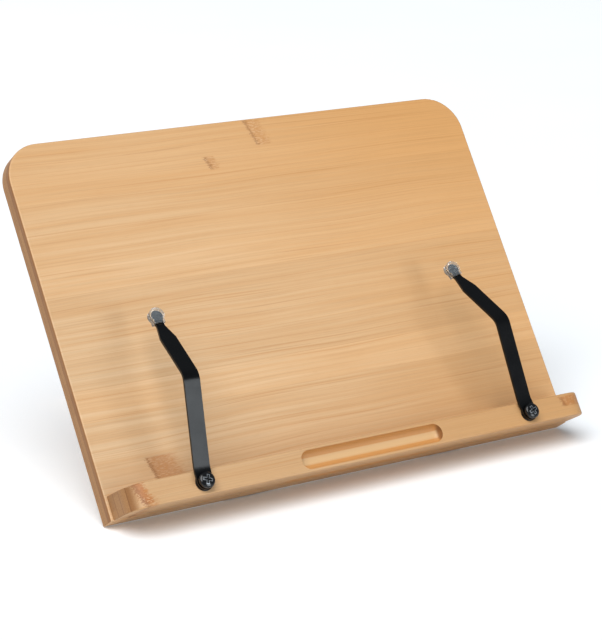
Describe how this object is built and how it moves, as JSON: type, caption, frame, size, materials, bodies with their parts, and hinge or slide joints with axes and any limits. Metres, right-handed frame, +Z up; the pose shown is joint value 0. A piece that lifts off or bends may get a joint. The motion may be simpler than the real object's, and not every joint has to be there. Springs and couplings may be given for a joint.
{
  "type": "folding album and book stand",
  "caption": "Bamboo reading stand: leaning backboard, ledge with a pen groove, black swivelling page arms, and a folding prop whose foot rests against the slats of a hinged base frame.",
  "frame": {"origin": "middle of the open stand's footprint, on the table surface", "axes": "+X to the right along the board seen from the front, +Y to the back, +Z up"},
  "size_m": [0.34, 0.2756, 0.2055],
  "materials": {
    "bamboo_board": "laminated bamboo, satin clear lacquer, horizontal grain",
    "bamboo_ledge": "laminated bamboo, satin clear lacquer",
    "bamboo_frame": "bamboo bars, satin clear lacquer",
    "black_steel": "satin black coat on steel strip",
    "black_screw": "black coated steel",
    "clear_cap": "clear soft plastic, glossy",
    "zinc_steel": "bright zinc plated steel",
    "brass": "turned brass"
  },
  "bodies": {
    "board": {"backboard": "bamboo_board", "ledge": "bamboo_ledge", "ledge_screws": "zinc_steel", "prop_bracket_screws": "zinc_steel", "base_bracket_screws": "zinc_steel", "left_arm_screw": "black_screw", "left_arm_washer": "black_screw", "left_arm_spring_washer": "black_screw", "left_arm_insert": "brass", "left_prop_bracket": "zinc_steel", "left_prop_hinge_pin": "zinc_steel", "left_base_bracket": "zinc_steel", "left_base_hinge_pin": "zinc_steel", "right_arm_screw": "black_screw", "right_arm_washer": "black_screw", "right_arm_spring_washer": "black_screw", "right_arm_insert": "brass", "right_prop_bracket": "zinc_steel", "right_prop_hinge_pin": "zinc_steel", "right_base_bracket": "zinc_steel", "right_base_hinge_pin": "zinc_steel"},
    "left_arm": {"left_arm": "black_steel", "left_arm_cap": "clear_cap"},
    "right_arm": {"right_arm": "black_steel", "right_arm_cap": "clear_cap"},
    "prop": {"left_prop_leg": "bamboo_frame", "right_prop_leg": "bamboo_frame", "prop_top_rail": "bamboo_frame", "prop_foot_bar": "bamboo_frame"},
    "base": {"left_base_rail": "bamboo_frame", "right_base_rail": "bamboo_frame", "base_front_slat": "bamboo_frame", "base_middle_slat": "bamboo_frame", "base_rear_rail": "bamboo_frame"}
  },
  "joints": [
    {"name": "left_arm_swing", "type": "hinge", "parent": "board", "child": "left_arm", "pos_m": [-0.12, -0.12272, 0.02311], "axis": [0, 0.829, -0.5592], "range_deg": [-82, 78]},
    {"name": "right_arm_swing", "type": "hinge", "parent": "board", "child": "right_arm", "pos_m": [0.12, -0.12272, 0.02311], "axis": [0, -0.829, 0.5592], "range_deg": [-90, 70]},
    {"name": "prop_fold", "type": "hinge", "parent": "board", "child": "prop", "pos_m": [0, -0.00399, 0.12957], "axis": [-1, 0, 0], "range_deg": [0, 69.8]},
    {"name": "base_fold", "type": "hinge", "parent": "board", "child": "base", "pos_m": [0, -0.08835, 0.0045], "axis": [1, 0, 0], "range_deg": [-34, 56]}
  ]
}
